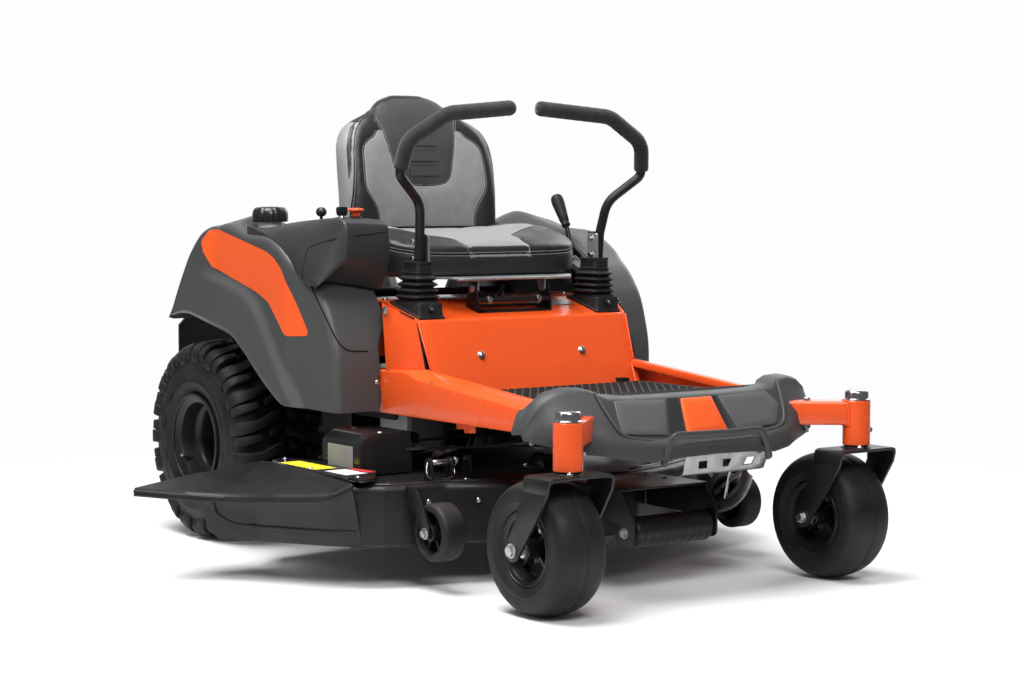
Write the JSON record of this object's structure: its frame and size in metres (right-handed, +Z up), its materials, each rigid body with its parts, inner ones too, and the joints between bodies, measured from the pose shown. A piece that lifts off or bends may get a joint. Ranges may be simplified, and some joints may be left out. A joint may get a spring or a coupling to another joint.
{
  "type": "zero turn mower",
  "caption": "Ride-on zero turn mower with caster front wheels, mid-mounted cutting deck and chute, lap-bar levers, padded seat, rear drive wheels and engine.",
  "frame": {"origin": "centre of the bounding box at ground level", "axes": "+Z up; +Y towards the rear of the machine, so it drives towards -Y; +X towards the driver's left side"},
  "size_m": [1.4996, 1.8577, 1.093],
  "materials": {
    "orange_paint": "gloss",
    "black_paint": "gloss",
    "fender_plastic": "satin",
    "footrest_plastic": "satin",
    "seat_vinyl": "satin",
    "rubber": "matte",
    "tyre": "matte",
    "grip_foam": "matte",
    "chrome": "polished",
    "zinc": "satin",
    "cast_aluminium": "satin",
    "orange_plastic": "gloss",
    "black_plastic": "satin"
  },
  "bodies": {
    "frame": {"left_rail": "orange_paint", "right_rail": "orange_paint", "front_axle": "orange_paint", "left_caster_cap": "chrome", "right_caster_cap": "chrome", "front_panel": "orange_paint", "footrest": "footrest_plastic", "step_plate": "zinc", "left_fender": "fender_plastic", "right_fender": "fender_plastic", "control_console": "fender_plastic", "fuel_tank": "black_plastic", "engine_block": "cast_aluminium", "engine_shroud": "black_plastic", "muffler": "zinc", "left_transaxle": "cast_aluminium", "right_transaxle": "cast_aluminium", "battery": "black_plastic", "rear_frame": "black_paint", "left_boot_base": "rubber", "right_boot_base": "rubber", "seat_bracket": "black_paint"},
    "crank": {"crank_pulley": "zinc"},
    "deck": {"deck_shell": "black_paint", "left_pulley_cover": "black_plastic", "right_pulley_cover": "black_plastic", "deck_belt": "rubber"},
    "centre_blade": {"centre_blade_spindle": "zinc"},
    "left_blade": {"left_blade_spindle": "zinc"},
    "right_blade": {"right_blade_spindle": "zinc"},
    "chute": {"discharge_chute": "black_plastic"},
    "left_scalp": {"left_scalp_wheel": "black_plastic"},
    "right_scalp": {"right_scalp_wheel": "black_plastic"},
    "roller": {"front_roller": "black_plastic"},
    "left_caster": {"left_fork": "black_paint"},
    "right_caster": {"right_fork": "black_paint"},
    "left_front_wheel": {"left_front_tyre": "tyre", "left_front_rim": "black_paint"},
    "right_front_wheel": {"right_front_tyre": "tyre", "right_front_rim": "black_paint"},
    "left_rear_wheel": {"left_rear_tyre": "tyre", "left_rear_rim": "black_paint"},
    "right_rear_wheel": {"right_rear_tyre": "tyre", "right_rear_rim": "black_paint"},
    "left_pivot": {"left_pivot_post": "zinc"},
    "right_pivot": {"right_pivot_post": "zinc"},
    "left_lap_bar": {"left_lever": "black_paint", "left_grip": "grip_foam", "left_boot": "rubber"},
    "right_lap_bar": {"right_lever": "black_paint", "right_grip": "grip_foam", "right_boot": "rubber"},
    "seat": {"seat_plate": "zinc", "seat_cushion": "seat_vinyl", "seat_back": "seat_vinyl"},
    "cap": {"fuel_cap": "black_plastic"},
    "throttle": {"throttle_lever": "black_plastic"},
    "key": {"ignition_key": "black_plastic"},
    "knob": {"clutch_knob": "orange_plastic"},
    "lift_lever": {"height_lever": "black_plastic"}
  },
  "joints": [
    {"name": "seat_tilt", "type": "hinge", "parent": "frame", "child": "seat", "pos_m": [0.13035, -0.1231, 0.628], "axis": [1, 0, 0], "range_deg": [0, 25]},
    {"name": "left_lever_drive", "type": "hinge", "parent": "frame", "child": "left_pivot", "pos_m": [0.38435, -0.1111, 0.545], "axis": [1, 0, 0], "range_deg": [-6, 12]},
    {"name": "left_lever_swing", "type": "hinge", "parent": "left_pivot", "child": "left_lap_bar", "pos_m": [0.38435, -0.1111, 0.6], "axis": [0, 1, 0], "range_deg": [0, 18]},
    {"name": "left_caster_swivel", "type": "hinge", "parent": "frame", "child": "left_caster", "pos_m": [0.52635, -0.8671, 0.3], "axis": [0, 0, 1], "continuous": true},
    {"name": "left_front_wheel_spin", "type": "hinge", "parent": "left_caster", "child": "left_front_wheel", "pos_m": [0.52365, -0.7899, 0.1397], "axis": [1, 0, 0], "continuous": true},
    {"name": "left_rear_wheel_spin", "type": "hinge", "parent": "frame", "child": "left_rear_wheel", "pos_m": [0.50535, 0.5089, 0.244], "axis": [1, 0, 0], "continuous": true},
    {"name": "right_lever_drive", "type": "hinge", "parent": "frame", "child": "right_pivot", "pos_m": [-0.12365, -0.1111, 0.545], "axis": [1, 0, 0], "range_deg": [-6, 12]},
    {"name": "right_lever_swing", "type": "hinge", "parent": "right_pivot", "child": "right_lap_bar", "pos_m": [-0.12365, -0.1111, 0.6], "axis": [0, -1, 0], "range_deg": [0, 18]},
    {"name": "right_caster_swivel", "type": "hinge", "parent": "frame", "child": "right_caster", "pos_m": [-0.26565, -0.8671, 0.3], "axis": [0, 0, 1], "continuous": true},
    {"name": "right_front_wheel_spin", "type": "hinge", "parent": "right_caster", "child": "right_front_wheel", "pos_m": [-0.26295, -0.7899, 0.1397], "axis": [1, 0, 0], "continuous": true},
    {"name": "right_rear_wheel_spin", "type": "hinge", "parent": "frame", "child": "right_rear_wheel", "pos_m": [-0.24465, 0.5089, 0.244], "axis": [1, 0, 0], "continuous": true},
    {"name": "deck_lift", "type": "slide", "parent": "frame", "child": "deck", "axis": [0, 0, 1], "range_m": [-0.04, 0.03]},
    {"name": "lift_lever_pivot", "type": "hinge", "parent": "frame", "child": "lift_lever", "pos_m": [0.48035, 0.0789, 0.56], "axis": [1, 0, 0], "range_deg": [-8, 10]},
    {"name": "centre_blade_spin", "type": "hinge", "parent": "deck", "child": "centre_blade", "pos_m": [0.13035, -0.2711, 0.2], "axis": [0, 0, 1], "continuous": true},
    {"name": "left_blade_spin", "type": "hinge", "parent": "deck", "child": "left_blade", "pos_m": [0.51535, -0.1111, 0.2], "axis": [0, 0, 1], "continuous": true},
    {"name": "right_blade_spin", "type": "hinge", "parent": "deck", "child": "right_blade", "pos_m": [-0.25465, -0.1111, 0.2], "axis": [0, 0, 1], "continuous": true},
    {"name": "crank_spin", "type": "hinge", "parent": "frame", "child": "crank", "pos_m": [0.13035, 0.6589, 0.33], "axis": [0, 0, 1], "continuous": true},
    {"name": "chute_lift", "type": "hinge", "parent": "deck", "child": "chute", "pos_m": [-0.42665, -0.1311, 0.243], "axis": [0, 1, 0], "range_deg": [0, 80]},
    {"name": "left_scalp_wheel_spin", "type": "hinge", "parent": "deck", "child": "left_scalp", "pos_m": [0.54885, -0.4511, 0.13], "axis": [1, 0, 0], "continuous": true},
    {"name": "right_scalp_wheel_spin", "type": "hinge", "parent": "deck", "child": "right_scalp", "pos_m": [-0.28815, -0.4511, 0.13], "axis": [1, 0, 0], "continuous": true},
    {"name": "front_roller_spin", "type": "hinge", "parent": "deck", "child": "roller", "pos_m": [0.13035, -0.7011, 0.131], "axis": [1, 0, 0], "continuous": true},
    {"name": "fuel_cap_turn", "type": "hinge", "parent": "frame", "child": "cap", "pos_m": [-0.26965, 0.2939, 0.8], "axis": [0, 0, 1], "range_deg": [0, 120]},
    {"name": "throttle_pivot", "type": "hinge", "parent": "frame", "child": "throttle", "pos_m": [-0.22165, 0.1389, 0.775], "axis": [1, 0, 0], "range_deg": [-25, 25]},
    {"name": "key_turn", "type": "hinge", "parent": "frame", "child": "key", "pos_m": [-0.21465, 0.0589, 0.79], "axis": [0, 0, 1], "range_deg": [0, 90]},
    {"name": "clutch_knob_pull", "type": "slide", "parent": "frame", "child": "knob", "axis": [0, 0, 1], "range_m": [0, 0.012]}
  ],
  "couplings": [
    {"joint": "lift_lever_pivot", "follows": "deck_lift", "rad_per_m": -4},
    {"joint": "left_blade_spin", "follows": "centre_blade_spin", "ratio": 1},
    {"joint": "right_blade_spin", "follows": "centre_blade_spin", "ratio": 1},
    {"joint": "crank_spin", "follows": "centre_blade_spin", "ratio": 0.84848}
  ]
}
